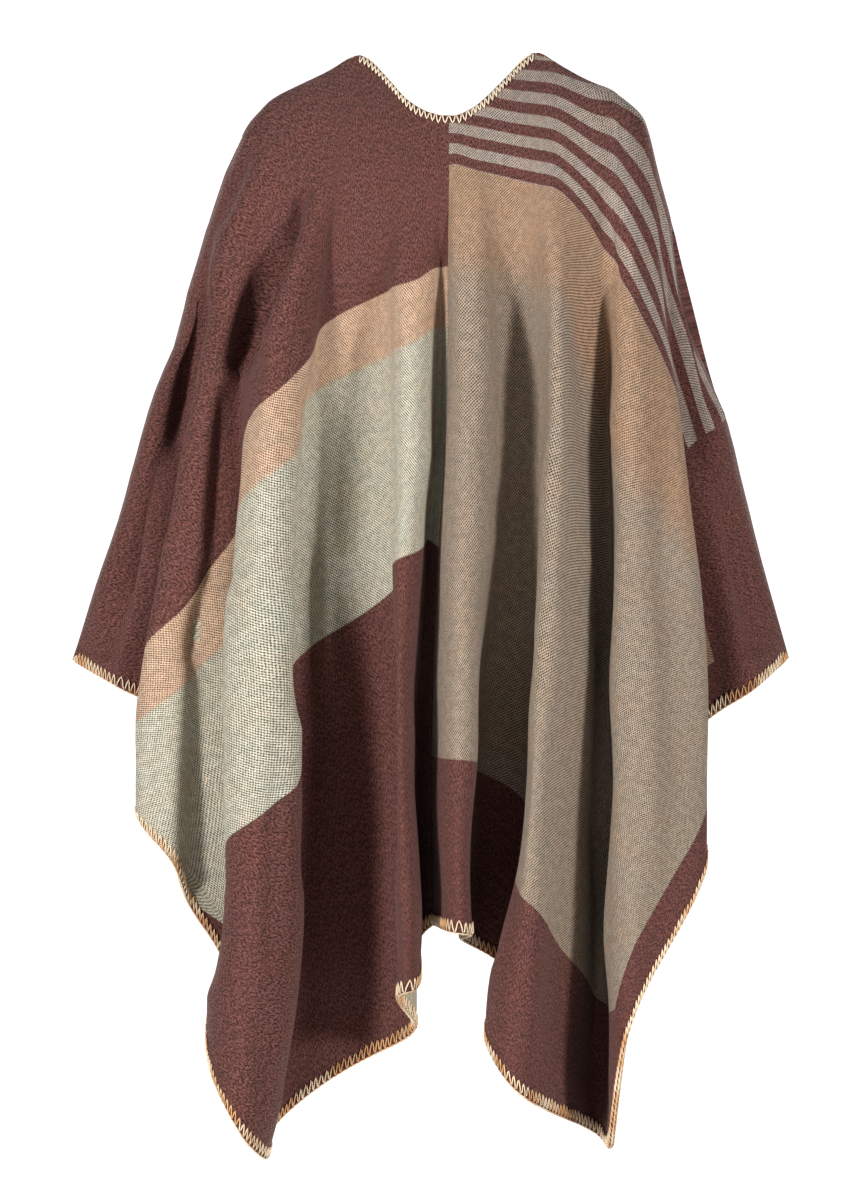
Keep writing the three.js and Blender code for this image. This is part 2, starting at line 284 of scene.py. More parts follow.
def hollowWidth(lines, z):
    # half width of the hollow at a height: straight between the tops of the lines from the neck
    # point to the wrist, and a little wider towards the hem below it
    tops = np.array([line["top"] for line in lines[neckIndex(lines):]], float)
    over = np.interp(-z, -tops[:, 1], tops[:, 0])
    wristHigh = tops[-1, 1]
    spread = 1 + (figure["hemSpread"] - 1) * smooth(-z, -wristHigh, -levels[-1])
    return np.where(z <= wristHigh, tops[-1, 0] * spread, over)


def neckIndex(lines):
    return [line["line"] for line in lines].index("neck point")


def foldLine(line, lines, turn, part):
    # points down one line: eased heights, distance on a curve through the levels, and depth as an
    # oval plus the fold's own stand, which grows from the shoulder and opens towards the hem
    front = turn < 0
    topX, topZ = line["top"]
    z = topZ + (line["hem"] - topZ) * part * part / (part + grid["rowEase"] * (1 - part))
    below = [(level, x) for level, x in zip(levels, line["across"]) if level < topZ - levelGap]
    grown = smooth(-z, -folds["startsAt"], -folds["fullAt"]) * smooth(topZ - z, 0, folds["fadeIn"])
    opened = 1 + folds["hemOpening"] * smooth(-z, -levels[1], -levels[6])
    x = curveThrough([0] + [topZ - level for level, _ in below], [topX] + [x for _, x in below], topZ - z)
    x = x - line.get("inset", 0) * grown
    share = np.minimum(np.abs(x) / hollowWidth(lines, z), 1)
    oval = (1 - share ** figure["roundness"]) ** (1 / figure["roundness"])
    deep = figure["frontDeep" if front else "backDeep"]
    body = deep * (1 - np.exp(z / figure["fall"])) * oval
    fold = line["out"] * grown * opened * (folds["frontDepth"] if front else 1)
    middle = figure["armForward"] * smooth(-z, 0, -levels[3])
    return np.stack([x, middle - turn * (body + fold), z], axis=1)


def inFront(line):
    # a line of the back as it lies in front: shorter, further in, and only swinging outwards
    return {
        **line,
        "across": list(np.maximum.accumulate(line["across"])),
        "hem": min(line["hem"] + folds["frontLift"], line["top"][1]),
        "inset": folds["frontInset"],
    }


def chordLengths(points):
    return np.concatenate([[0], np.cumsum(np.linalg.norm(np.diff(points, axis=0), axis=1))])


def flatEnds(ends, corner, long):
    # u and v where the lines end: on the hem up to the corner and on the side edge past it, in
    # proportion to the chords between the ends
    run = chordLengths(ends)
    u = np.minimum(run / run[corner], 1) * cut["wide"]
    v = np.minimum((run[-1] - run) / (run[-1] - run[corner]), 1) * long
    return u, v


def acrossColumns(lines, steps):
    # columns between the lines, each row on the Catmull-Rom curve through the lines' points
    around = np.concatenate([lines[:1], lines, lines[-1:]])
    columns = []
    for i, count in enumerate(steps):
        p = (np.arange(count) / count).reshape(-1, 1, 1)
        a, b, c, d = around[i:i + 4]
        columns.append((
            a * (-p**3 + 2 * p**2 - p) + b * (3 * p**3 - 5 * p**2 + 2)
            + c * (-3 * p**3 + 4 * p**2 + p) + d * (p**3 - p**2)
        ) / 2)
    return np.concatenate(columns + [lines[-1:]])


def roundedOff(columns):
    # each inner column moved half of the way to the middle of its neighbours
    for _ in range(folds["rounding"]):
        inner = (columns[:-2] + 2 * columns[1:-1] + columns[2:]) / 4
        columns = np.concatenate([columns[:1], inner, columns[-1:]])
    return columns


def columnSteps(lines, backLines, turn):
    # the solids' number of columns between two lines, from their widest gap
    part = np.arange(grid["rows"] + 1) / grid["rows"]
    drawn = np.array([foldLine(line, backLines, turn, part) for line in lines])
    widest = np.linalg.norm(np.diff(drawn, axis=0), axis=2).max(axis=1)
    return np.clip(np.round(widest / grid["columnStep"]), 2, grid["mostSteps"]).astype(int)


def clothColumns(lines, steps):
    rounded = roundedOff(acrossColumns(lines, steps))
    return acrossColumns(rounded, [grid["finer"]] * (len(rounded) - 1))


def backFlat(back, drawn, corner, joins):
    # u runs evenly down each line, and v on a curve through the heights of the colour joins
    neck = neckIndex(back)
    tops = np.array([line["top"] for line in back], float)
    ridge = chordLengths(tops[neck:])
    ridgeU = cut["neckWide"] + ridge / ridge[-1] * (cut["wide"] - cut["neckWide"])
    topU = np.concatenate([tops[:neck, 0], ridgeU])
    endU, endV = flatEnds(drawn[:, -1], corner, cut["backLong"])
    flat = []
    for i, (line, join) in enumerate(zip(back, joins)):
        z = drawn[i, :, 2]
        topV = join["ridge"] if i >= neck else -line["top"][1] * cut["neckSlope"]
        crossed = zip([join[name] for name in joinColumns[2:]], joins[0]["at"])
        known = [(high, v) for high, v in crossed if high is not None]
        fallen = line["top"][1] - z
        if line["line"] == "wrist":
            u = np.full(len(z), topU[i])
            v = np.full(len(z), topV)
        else:
            places = [0] + [line["top"][1] - high for high, _ in known] + [fallen[-1]]
            u = topU[i] + (endU[i] - topU[i]) * fallen / fallen[-1]
            v = curveThrough(places, [topV] + [v for _, v in known] + [endV[i]], fallen)
        flat.append(np.stack([u, v], axis=1))
    return np.array(flat), topU


def frontFlat(front, drawn, corner, topU, ridgeV):
    # the front's u and v run evenly down each line
    endU, endV = flatEnds(drawn[:, -1], corner, cut["frontLong"])
    startU = np.concatenate([cut["frontNeckU"], topU])
    startV = np.concatenate([cut["frontNeckV"], ridgeV])
    fallen = drawn[:, :1, 2] - drawn[:, :, 2]
    part = fallen / np.maximum(fallen[:, -1:], 1e-6)
    u = startU[:, None] + (endU - startU)[:, None] * part
    v = startV[:, None] + (-endV - startV)[:, None] * part
    return np.stack([u, v], axis=2)


def creaseDepth(points, onBack, creases):
    # sum of bell-shaped troughs about the segments, seen along Y, fading towards their ends
    depth = np.zeros(len(points))
    seen = points[:, [0, 2]]
    for crease in asRows(creaseColumns, creases):
        start = np.array(crease["start"], float)
        along = np.array(crease["end"], float) - start
        part = ((seen - start) @ along) / (along @ along)
        nearest = start + np.clip(part, 0, 1)[:, None] * along
        gap = np.linalg.norm(seen - nearest, axis=1)
        kept = np.clip(part * creaseFade["reach"] + creaseFade["margin"], 0, 1)
        fade = np.sin(np.pi * kept) ** creaseFade["power"]
        side = onBack if crease["side"] == "back" else ~onBack
        depth += side * crease["depth"] * fade * np.exp(-((gap / crease["width"]) ** 2))
    return depth


def clothWaves(points, seed):
    # low waves: products of sines in three lengths, turned a little against each other
    high = np.zeros(len(points))
    for i, (length, strength) in enumerate(zip(unevenness["lengths"], unevenness["strengths"])):
        turn = unevenness["turn"] * i + seed
        slant = points[:, 2] * unevenness["heightShare"] * math.sin(turn)
        a = points[:, 0] * math.cos(turn) + slant + points[:, 1] * unevenness["depthShare"]
        across = points[:, 0] * unevenness["acrossShare"] * math.cos(turn)
        b = points[:, 2] * unevenness["downShare"] - across
        high += strength * np.sin(2 * np.pi * a / length + seed) * np.cos(2 * np.pi * b / length + i)
    return unevenness["high"] * high


def surfaceNormals(points, faces):
    # mean of the faces' normals at each point, weighted by area
    a, b, c, d = (points[faces[:, i]] for i in range(4))
    facing = np.cross(c - a, d - b)
    normals = np.zeros_like(points)
    for i in range(4):
        np.add.at(normals, faces[:, i], facing)
    return normals / np.maximum(np.linalg.norm(normals, axis=1), 1e-9)[:, None]


def gridFaces(ids, turned):
    faces = np.stack([ids[:-1, :-1], ids[:-1, 1:], ids[1:, 1:], ids[1:, :-1]], axis=-1).reshape(-1, 4)
    return faces[:, ::-1] if turned else faces


def halfSurface(backTable, edgeTable, joinTable, cornerName, creases, seed):
    # the middle surface of a half, its flat coordinates and the path round its open edges
    back = asRows(lineColumns, backTable)
    edge = asRows(lineColumns, edgeTable)
    joins = asRows(joinColumns, joinTable["rows"])
    joins[0]["at"] = joinTable["at"]
    neck = neckIndex(back)
    corner = [line["line"] for line in back].index(cornerName)
    front = edge + [inFront(line) for line in back[neck:]]
    part = np.linspace(0, 1, grid["fineRows"] + 1)
    backDrawn = np.array([foldLine(line, back, 1, part) for line in back])
    frontDrawn = np.array([foldLine(line, back, -1, part) for line in front])
    backSteps = columnSteps(back, back, 1)
    frontSteps = np.concatenate([columnSteps(front[:len(edge) + 1], back, -1), backSteps[neck:]])
    backUv, topU = backFlat(back, backDrawn, corner, joins)
    frontCorner = corner - neck + len(edge)
    frontUv = frontFlat(front, frontDrawn, frontCorner, topU[neck:], backUv[neck:, 0, 1])
    backGrid = clothColumns(np.concatenate([backDrawn, backUv], axis=2), backSteps)
    frontGrid = clothColumns(np.concatenate([frontDrawn, frontUv], axis=2), frontSteps)
    shared = int(backSteps[neck:].sum()) * grid["finer"]

    rows = len(part)
    backIds = np.arange(len(backGrid) * rows).reshape(-1, rows)
    frontIds = backIds.size + np.arange(len(frontGrid) * rows).reshape(-1, rows)
    frontIds[-1 - shared:, 0] = backIds[-1 - shared:, 0]
    backIds[-1] = backIds[-1, 0]
    frontIds[-1] = backIds[-1, 0]
    faces = np.concatenate([gridFaces(backIds, False), gridFaces(frontIds, True)])
    points = np.concatenate([backGrid.reshape(-1, 5), frontGrid.reshape(-1, 5)])
    onBack = np.arange(len(points)) < backIds.size

    used, faces = np.unique(faces, return_inverse=True)
    faces = faces.reshape(-1, 4)
    place = np.full(len(points), -1)
    place[used] = np.arange(len(used))
    points = points[used]
    onBack = onBack[used]
    surface = points[:, :3].copy()
    normals = surfaceNormals(surface, faces)
    fade = smooth(-surface[:, 2], unevenness["startsAt"], unevenness["fullAt"])
    lift = clothWaves(surface, seed) * fade - creaseDepth(surface, onBack, creases)
    fromSeam = smooth(points[:, 3], 0, unevenness["seamFade"])
    lift = np.where(onBack, lift * fromSeam, lift)
    surface += normals * lift[:, None]

    # from each point of the open edges, the points that follow it into the cloth
    deep = np.arange(edging["reachRows"])
    neckBack = backIds[:-shared, deep]
    neckFront = frontIds[:len(frontIds) - shared - 1, deep][::-1]
    frontEdge = frontIds[deep, 1:].T
    frontHem = frontIds[1:, -1 - deep]
    frontHem[-1] = frontHem[-2]  # the wrist's column has no length of its own
    backHem = backIds[:-1, -1 - deep][::-1]
    return {
        "points": surface, "flat": points[:, 3:], "faces": faces, "seam": place[backIds[0]],
        "inward": place[np.concatenate([neckBack, neckFront, frontEdge, frontHem, backHem])],
    }


def joinAtSeam(left, right):
    # both halves share normals and points along the centre back, and then part by the seam's gap
    mirror = np.array([-1, 1, 1])
    common = left["normals"][left["seam"]] * mirror + right["normals"][right["seam"]]
    common /= np.linalg.norm(common, axis=1)[:, None]
    right["normals"][right["seam"]] = common
    left["normals"][left["seam"]] = common * mirror
    for half in (left, right):
        points = half["points"][half["seam"]]
        down = np.gradient(points, axis=0)
        aside = np.cross(half["normals"][half["seam"]], down)
        aside /= np.linalg.norm(aside, axis=1)[:, None]
        aside *= np.sign(aside[:, :1])
        half["points"][half["seam"]] = points + aside * seamGap / 2


def shellMesh(name, half, mirrored):
    # a closed wall: the surface moved out and in by half the wall, and a rim along its open edges
    points, faces, count = half["points"], half["faces"], len(half["points"])
    outer = points + half["normals"] * wall / 2
    inner = points - half["normals"] * wall / 2
    start = faces.ravel()
    end = np.roll(faces, -1, axis=1).ravel()
    real = start != end
    start, end = start[real], end[real]
    unshared = ~np.isin(start * count + end, end * count + start)
    start, end = start[unshared], end[unshared]
    rim = np.stack([end, start, start + count, end + count], axis=1)
    everyFace = np.concatenate([faces, faces[:, ::-1] + count, rim])
    place = np.concatenate([outer, inner]) * mm
    if mirrored:
        place[:, 0] *= -1
        everyFace = everyFace[:, ::-1]
    mesh = bpy.data.meshes.new(name)
    mesh.from_pydata(place, [], [list(dict.fromkeys(face)) for face in everyFace.tolist()])
    flat = np.concatenate([half["flat"], half["flat"]]) * mm
    corners = np.empty(len(mesh.loops), np.int32)
    mesh.loops.foreach_get("vertex_index", corners)
    layer = mesh.uv_layers.new(name="flat")
    layer.data.foreach_set("uv", flat[corners].astype(np.float32).ravel())
    reverse = mesh.attributes.new("reverse", "FLOAT", "POINT")
    reverse.data.foreach_set("value", np.repeat([0.0, 1.0], count).astype(np.float32))
    mesh.polygons.foreach_set("use_smooth", np.ones(len(mesh.polygons), bool))
    mesh.validate()
    piece = bpy.data.objects.new(name, mesh)
    bpy.context.scene.collection.objects.link(piece)
    return piece


left = halfSurface(leftBack, leftEdge, leftJoins, "broad fold, inner side", leftCreases, 0.4)
right = halfSurface(rightBack, rightEdge, rightJoins, "corner fold, inner side", rightCreases, 2.1)
for half in (left, right):
    half["normals"] = surfaceNormals(half["points"], half["faces"])
joinAtSeam(left, right)
print("cloth surfaces:", len(left["points"]), "and", len(right["points"]), "points")
leftCloth = shellMesh("leftHalf", left, True)
rightCloth = shellMesh("rightHalf", right, False)


def evenRun(half):
    # a function that gives the cloth's points and normals from the edge inwards, at places along it
    paths = half["points"][half["inward"]]
    turned = half["normals"][half["inward"]]
    run = chordLengths(paths[:, 0])
    keep = np.concatenate([[True], np.diff(run) > 1e-6])
    paths, turned, run = paths[keep], turned[keep], run[keep]

    def at(places):
        i = np.clip(np.searchsorted(run, places, side="right") - 1, 0, len(run) - 2)
        part = ((places - run[i]) / (run[i + 1] - run[i]))[:, None, None]
        return [values[i] + (values[i + 1] - values[i]) * part for values in (paths, turned)]
    return at, run[-1]


def goneIn(inward, normals, depth):
    # the place and normal at a depth along each path, straight between its points
    steps = np.linalg.norm(np.diff(inward, axis=1), axis=2)
    far = np.concatenate([np.zeros((len(steps), 1)), np.cumsum(steps, axis=1)], axis=1)
    k = np.clip((far < depth[:, None]).sum(axis=1), 1, far.shape[1] - 1)
    row = np.arange(len(far))
    step = np.maximum(far[row, k] - far[row, k - 1], 1e-9)
    part = np.clip((depth - far[row, k - 1]) / step, 0, 1)[:, None]
    spot = inward[row, k - 1] * (1 - part) + inward[row, k] * part
    normal = normals[row, k - 1] * (1 - part) + normals[row, k] * part
    return spot, normal / np.linalg.norm(normal, axis=1)[:, None]


def tubeAlong(path, up, thick, sides):
    # a ring of points about each point of the path, its first axis square to the given direction
    along = np.gradient(path, axis=0)
    along /= np.linalg.norm(along, axis=1)[:, None]
    aside = np.cross(along, up)
    aside /= np.linalg.norm(aside, axis=1)[:, None]
    over = np.cross(aside, along)
    turn = np.linspace(0, 2 * np.pi, sides, endpoint=False)
    ring = aside[:, None] * np.cos(turn)[None, :, None] + over[:, None] * np.sin(turn)[None, :, None]
    points = (path[:, None] + ring * np.reshape(thick, (-1, 1, 1))).reshape(-1, 3)
    ids = np.arange(len(points)).reshape(-1, sides)
    following = np.roll(ids, -1, axis=1)
    faces = np.stack([ids[:-1], following[:-1], following[1:], ids[1:]], axis=-1).reshape(-1, 4)
    caps = [ids[0][::-1].tolist(), ids[-1].tolist()]
    return points, faces.tolist() + caps


def outwards(inward):
    # from a point a few rows in towards the edge, of length one
    away = inward[:, 0] - inward[:, edging["outwardRows"]]
    return away / np.maximum(np.linalg.norm(away, axis=1), 1e-9)[:, None]


def stitches(name, half, mirrored, seed):
    # depth along a rounded zigzag of each pitch, on the outer face and on the inner one
    at, long = evenRun(half)
    count = int(long / edging["pitch"])
    random = np.random.default_rng(seed)
    parts = []
    for face in (1, -1):
        step = np.arange(count * edging["pointsPerPitch"] + 1) / edging["pointsPerPitch"]
        shift = np.interp(step, np.arange(count + 2), random.normal(0, edging["uneven"], count + 2))
        places = np.clip((step + shift * edging["shiftShare"]) * long / count, 0, long)
        inward, normals = at(np.maximum.accumulate(places))
        spread = edging["uneven"] * edging["reachShare"]
        reach = np.interp(step, np.arange(count + 2), random.normal(1, spread, count + 2))
        wave = 0.5 - 0.5 * np.cos(2 * np.pi * (step + edging["otherFace"] * (face < 0)))
        sharp = wave + edging["point"] * np.sin(4 * np.pi * step) * (1 - wave)
        depth = edging["deep"] * reach * sharp
        away = wall / 2 + edging["thread"] + edging["lift"]
        over = np.clip(depth / edging["turnOver"], 0, 1)
        high = np.maximum(away * np.sqrt(1 - (1 - over) ** 2), edging["leastHigh"])
        spot, n = goneIn(inward, normals, depth)
        out = outwards(inward) * (edging["thread"] * (1 - over))[:, None]
        path = spot + out + n * (face * high)[:, None]
        parts.append(tubeAlong(path, n * face, edging["thread"], edging["sides"]))
    step = np.arange(count * edging["cordPointsPerPitch"] + 1) / edging["cordPointsPerPitch"]
    inward, normals = at(step * long / count)
    swell = edging["cordThick"] * (1 + edging["swell"] * np.cos(2 * np.pi * step))
    cord = inward[:, 0] + outwards(inward) * edging["cordOut"]
    parts.append(tubeAlong(cord, normals[:, 0], swell, edging["sides"]))
    points, faces, base = [], [], 0
    for somePoints, someFaces in parts:
        points.append(somePoints)
        faces += [[i + base for i in face] for face in someFaces]
        base += len(somePoints)
    place = np.concatenate(points) * mm
    if mirrored:
        place[:, 0] *= -1
    mesh = bpy.data.meshes.new(name)
    mesh.from_pydata(place, [], [face if mirrored else face[::-1] for face in faces])
    mesh.polygons.foreach_set("use_smooth", np.ones(len(mesh.polygons), bool))
    piece = bpy.data.objects.new(name, mesh)
    bpy.context.scene.collection.objects.link(piece)
    print(name, "length of edge", round(long), "mm,", count, "stitches")
    return piece


leftStitches = stitches("leftEdging", left, True, 11)
rightStitches = stitches("rightEdging", right, False, 12)

# Colours as linear RGB, from the lighter and the darker yarn of each block
yarns = {
    "maroon": [(0.205, 0.092, 0.081), (0.038, 0.014, 0.012)],
    "tan": [(0.620, 0.445, 0.325), (0.115, 0.070, 0.047)],
    "green": [(0.600, 0.570, 0.470), (0.080, 0.070, 0.053)],
    "camel": [(0.450, 0.310, 0.215), (0.085, 0.050, 0.033)],
    "taupe": [(0.410, 0.335, 0.265), (0.050, 0.036, 0.026)],
    "stripe": [(0.440, 0.375, 0.325), (0.070, 0.045, 0.039)],
    "reverse": [(0.540, 0.500, 0.390), (0.230, 0.190, 0.130)],
}
weave = {
    "pitch": 2.4, "slope": 0.7,  # from one diagonal line to the next, in millimetres
    "crossPitch": 2.4, "crossSlope": 0.9,
    "hairTurn": 0.6, "hairAcross": 0.85, "hairAlong": 0.36,
    "nap": 0.9, "cloud": 34, "patch": 7,
    "bump": 0.55, "bumpHigh": 0.0006,
    "sheen": 0.12, "sheenRough": 0.5, "sheenTint": (1.0, 0.90, 0.86, 1), "specular": 0.18,
    "wander": 0.16, "wanderBy": 3.4,  # how often and how far the lines stray, as a phase
    "lineShare": 0.46, "crossShare": 0.34, "speckShare": 0.58, "hairLineShare": 0.10,
    "speckledFrom": 0.30, "speckledTo": 0.72, "wovenFrom": 0.38, "wovenTo": 0.86,
    "hairyFrom": 0.38, "hairyTo": 0.64, "cloudyFrom": 0.36, "cloudyTo": 0.64,
    "cloudTints": [(1.02, 0.99, 0.96), (0.985, 1.0, 1.01)],
    "patchTints": [(0.88, 0.89, 0.88), (1.07, 1.05, 1.05)],
    "ragged": 0.9, "raggedBy": 1.6,  # how often and how far the colour joins stray
    "rough": 0.84, "roughBy": 0.10,
}
blocks = {
    "leftEdges": [224, 275, 463], "rightEdges": [133, 224, 637],
    "softTan": 24, "crisp": 0.8, "softGreen": 2.5,
    "stripePitch": 22.2, "stripeStart": 10.2, "stripeWide": 11,
    "stripesEnd": 450, "border": 625,
}


def addNode(tree, kind, **settings):
    node = tree.nodes.new(kind)
    for name, value in settings.items():
        setattr(node, name, value)
    return node


def feed(tree, socket, value):
    if isinstance(value, bpy.types.NodeSocket):
        tree.links.new(value, socket)
    else:
        socket.default_value = value


def calculate(tree, operation, *values):
    node = addNode(tree, "ShaderNodeMath", operation=operation)
    for socket, value in zip(node.inputs, values):
        feed(tree, socket, value)
    return node.outputs[0]


def ramp(tree, value, start, end):
    node = addNode(tree, "ShaderNodeMapRange", interpolation_type="SMOOTHSTEP")
    feed(tree, node.inputs["Value"], value)
    node.inputs["From Min"].default_value = start
    node.inputs["From Max"].default_value = end
    return node.outputs["Result"]


def mixColours(tree, share, first, second, blend="MIX"):
    node = addNode(tree, "ShaderNodeMix", data_type="RGBA", blend_type=blend)
    feed(tree, node.inputs[0], share)
    for socket, value in ((node.inputs[6], first), (node.inputs[7], second)):
        feed(tree, socket, value if isinstance(value, bpy.types.NodeSocket) else (*value, 1))
    return node.outputs[2]


def mixValues(tree, share, first, second):
    node = addNode(tree, "ShaderNodeMix", data_type="FLOAT")
    for socket, value in zip((node.inputs[0], node.inputs[2], node.inputs[3]), (share, first, second)):
        feed(tree, socket, value)
    return node.outputs[0]


def tinted(tree, colour, place, size, detail, rough, tints):
    # the colour times a tint that goes from the first to the second over clouds of a size
    cloud = noise(tree, place, 1 / size, detail, rough)
    share = ramp(tree, cloud, weave["cloudyFrom"], weave["cloudyTo"])
    return mixColours(tree, 1.0, colour, mixColours(tree, share, *tints), "MULTIPLY")


def noise(tree, place, scale, detail=2.0, rough=0.5):
    node = addNode(tree, "ShaderNodeTexNoise")
    tree.links.new(place, node.inputs["Vector"])
    node.inputs["Scale"].default_value = scale
    node.inputs["Detail"].default_value = detail
    node.inputs["Roughness"].default_value = rough
    return node.outputs["Fac"]


def waves(tree, u, v, slope, pitch, wander):
    # half plus half the sine of the distance across slanting lines, over their pitch
    across = calculate(tree, "MULTIPLY_ADD", v, slope, u)
    phase = calculate(tree, "MULTIPLY_ADD", across, 2 * math.pi / pitch, wander)
    return calculate(tree, "MULTIPLY_ADD", calculate(tree, "SINE", phase), 0.5, 0.5)


def pastEdge(tree, value, edge, soft):
    return ramp(tree, value, edge - soft, edge + soft)


def leftBlocks(tree, _, down):
    # shares of each colour, laid over each other from the shoulder down, whatever the place across
    first, second, third = blocks["leftEdges"]
    return [
        ("tan", pastEdge(tree, down, first, blocks["crisp"])),
        ("green", pastEdge(tree, down, second, blocks["softGreen"])),
        ("maroon", pastEdge(tree, down, third, blocks["crisp"])),
    ]


def rightBlocks(tree, u, down):
    # stripes across the shoulder as far as the upper arm, then the blocks and the side border
    first, second, third = blocks["rightEdges"]
    shifted = calculate(tree, "SUBTRACT", down, blocks["stripeStart"] - blocks["stripePitch"])
    within = calculate(tree, "FLOORED_MODULO", shifted, blocks["stripePitch"])
    crisp = blocks["crisp"]
    light = pastEdge(tree, within, blocks["stripeWide"], crisp)
    before = calculate(tree, "SUBTRACT", 1, pastEdge(tree, u, blocks["stripesEnd"], crisp))
    return [
        ("stripe", calculate(tree, "MULTIPLY", light, before)),
        ("camel", pastEdge(tree, down, first, crisp)),
        ("taupe", pastEdge(tree, down, second, blocks["softTan"])),
        ("maroon", pastEdge(tree, down, third, crisp)),
        ("maroon", pastEdge(tree, u, blocks["border"], crisp)),
    ]


def woolMaterial(name, layout):
    # two yarns in diagonal lines, cloudy and napped, with the blocks' colours by the flat cut;
    # the reverse is light where the face is maroon, and maroon where it is light
    material = bpy.data.materials.new(name)
    material.use_nodes = True
    tree = material.node_tree
    shader = tree.nodes["Principled BSDF"]
    flat = addNode(tree, "ShaderNodeUVMap", uv_map="flat").outputs["UV"]
    scaled = addNode(tree, "ShaderNodeMapping")
    tree.links.new(flat, scaled.inputs["Vector"])
    scaled.inputs["Scale"].default_value = (1000, 1000, 1000)
    place = scaled.outputs["Vector"]
    split = addNode(tree, "ShaderNodeSeparateXYZ")
    tree.links.new(place, split.inputs[0])
    u, v = split.outputs[0], split.outputs[1]

    stray = noise(tree, place, weave["ragged"])
    ragged = calculate(tree, "MULTIPLY_ADD", stray, weave["raggedBy"], -weave["raggedBy"] / 2)
    down = calculate(tree, "ADD", calculate(tree, "ABSOLUTE", v), ragged)
    side = calculate(tree, "ADD", u, ragged)

    stray = noise(tree, place, weave["wander"], 3)
    wander = calculate(tree, "MULTIPLY_ADD", stray, weave["wanderBy"], -weave["wanderBy"] / 2)
    line = waves(tree, u, v, weave["slope"], weave["pitch"], wander)
    cross = waves(tree, u, v, -weave["crossSlope"], weave["crossPitch"], wander)
    speck = noise(tree, place, weave["nap"], 5, 0.75)
    speckled = ramp(tree, speck, weave["speckledFrom"], weave["speckledTo"])
    woven = calculate(tree, "MULTIPLY", line, weave["lineShare"])
    woven = calculate(tree, "MULTIPLY_ADD", cross, weave["crossShare"], woven)
    woven = calculate(tree, "MULTIPLY_ADD", speckled, weave["speckShare"], woven)
    woven = ramp(tree, woven, weave["wovenFrom"], weave["wovenTo"])
    hairs = addNode(tree, "ShaderNodeMapping")
    tree.links.new(place, hairs.inputs["Vector"])
    hairs.inputs["Rotation"].default_value = (0, 0, weave["hairTurn"])
    hairs.inputs["Scale"].default_value = (weave["hairAcross"], weave["hairAlong"], 1)
    hairy = noise(tree, hairs.outputs["Vector"], 1, 4, 0.7)
    brushed = ramp(tree, hairy, weave["hairyFrom"], weave["hairyTo"])
    fuzzy = calculate(tree, "MULTIPLY_ADD", line, weave["hairLineShare"], brushed)

    light, dark = yarns["maroon"]
    pale = 0.0
    for colour, share in layout(tree, side, down):
        light = mixColours(tree, share, light, yarns[colour][0])
        dark = mixColours(tree, share, dark, yarns[colour][1])
        pale = mixValues(tree, share, pale, 0.0 if colour == "maroon" else 1.0)
    face = mixColours(tree, mixValues(tree, pale, fuzzy, woven), dark, light)
    backLight = mixColours(tree, pale, yarns["reverse"][0], yarns["maroon"][0])
    backDark = mixColours(tree, pale, yarns["reverse"][1], yarns["maroon"][1])
    back = mixColours(tree, woven, backDark, backLight)
    reverse = addNode(tree, "ShaderNodeAttribute", attribute_name="reverse").outputs["Fac"]
    colour = mixColours(tree, ramp(tree, reverse, 0.45, 0.55), face, back)

    colour = tinted(tree, colour, place, weave["cloud"], 3, 0.6, weave["cloudTints"])
    colour = tinted(tree, colour, place, weave["patch"], 2, 0.5, weave["patchTints"])
    tree.links.new(colour, shader.inputs["Base Color"])
    rough = calculate(tree, "MULTIPLY_ADD", speckled, weave["roughBy"], weave["rough"])
    tree.links.new(rough, shader.inputs["Roughness"])
    shader.inputs["Specular IOR Level"].default_value = weave["specular"]
    shader.inputs["Sheen Weight"].default_value = weave["sheen"]
    shader.inputs["Sheen Roughness"].default_value = weave["sheenRough"]
    shader.inputs["Sheen Tint"].default_value = weave["sheenTint"]

    height = calculate(tree, "MULTIPLY_ADD", line, 0.5, speck)
    bump = addNode(tree, "ShaderNodeBump")
    bump.inputs["Strength"].default_value = weave["bump"]
    bump.inputs["Distance"].default_value = weave["bumpHigh"]
    tree.links.new(height, bump.inputs["Height"])
    tree.links.new(bump.outputs["Normal"], shader.inputs["Normal"])
    return material


yarn = {
    "cream": (0.80, 0.66, 0.50), "orange": (0.62, 0.36, 0.18), "neck": (0.86, 0.75, 0.60),
    "shade": (0.92, 0.84, 0.72),
    "dye": 34, "dyeFrom": 0.42, "dyeTo": 0.62,  # places a metre where the colour turns
    "neckFrom": -0.16, "neckTo": -0.10,  # heights in metres over which the neck's pale yarn starts
    "twist": 900, "rough": 0.6, "roughBy": 0.2, "specular": 0.3, "sheen": 0.25,
    "bump": 0.6, "bumpHigh": 0.0002,
}


